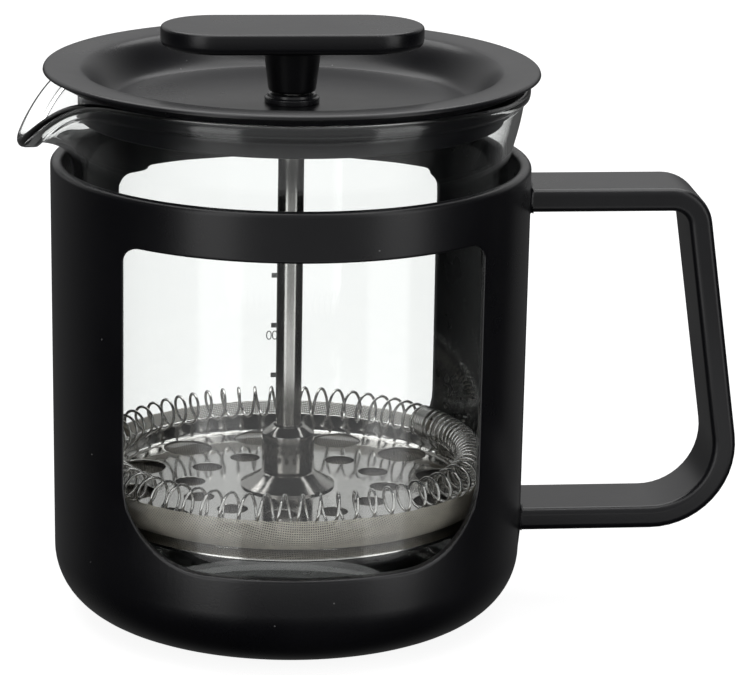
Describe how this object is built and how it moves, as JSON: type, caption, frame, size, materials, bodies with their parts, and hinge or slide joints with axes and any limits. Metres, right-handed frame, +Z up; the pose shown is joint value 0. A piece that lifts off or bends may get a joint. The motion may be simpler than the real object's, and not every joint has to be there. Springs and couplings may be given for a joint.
{
  "type": "french press",
  "caption": "French press: clear beaker with pouring lip in a black windowed holder with strap handle, dished lid and sliding plunger with mesh filter.",
  "frame": {"origin": "centre of the holder's flat base, on the surface it stands on", "axes": "+Z up along the plunger rod, +X towards the handle, pouring lip towards -X, windows facing -Y and +Y"},
  "size_m": [0.1392, 0.0946, 0.1148],
  "materials": {
    "black_plastic": "fine satin",
    "glass": "clear polished",
    "bush_plastic": "semi-gloss",
    "polished_steel": "polished stainless",
    "brushed_steel": "brushed",
    "steel_mesh": "fine woven",
    "brass": "machined"
  },
  "bodies": {
    "holder": {"holder": "black_plastic"},
    "beaker": {"glass_beaker": "glass"},
    "lid": {"lid": "black_plastic", "lid_bush": "bush_plastic"},
    "plunger": {"plunger_rod": "polished_steel", "lock_sleeve": "brushed_steel"},
    "knob": {"knob": "black_plastic", "knob_insert": "brass"},
    "filter": {"hub_cone": "brushed_steel", "spiral_plate": "polished_steel", "coil_spring": "polished_steel", "mesh_filter": "steel_mesh", "cross_plate": "polished_steel", "fixing_nut": "brushed_steel"}
  },
  "joints": [
    {"name": "beaker_lift", "type": "slide", "parent": "holder", "child": "beaker", "axis": [0, 0, 1], "range_m": [0, 0.1]},
    {"name": "lid_lift", "type": "slide", "parent": "beaker", "child": "lid", "axis": [0, 0, 1], "range_m": [0, 0.1]},
    {"name": "plunger_slide", "type": "slide", "parent": "lid", "child": "plunger", "axis": [0, 0, 1], "range_m": [0, 0.06]},
    {"name": "knob_unscrew", "type": "hinge", "parent": "plunger", "child": "knob", "pos_m": [0, 0, 0.106], "axis": [0, 0, 1], "continuous": true},
    {"name": "filter_unscrew", "type": "hinge", "parent": "plunger", "child": "filter", "pos_m": [0, 0, 0.022], "axis": [0, 0, 1], "continuous": true}
  ]
}
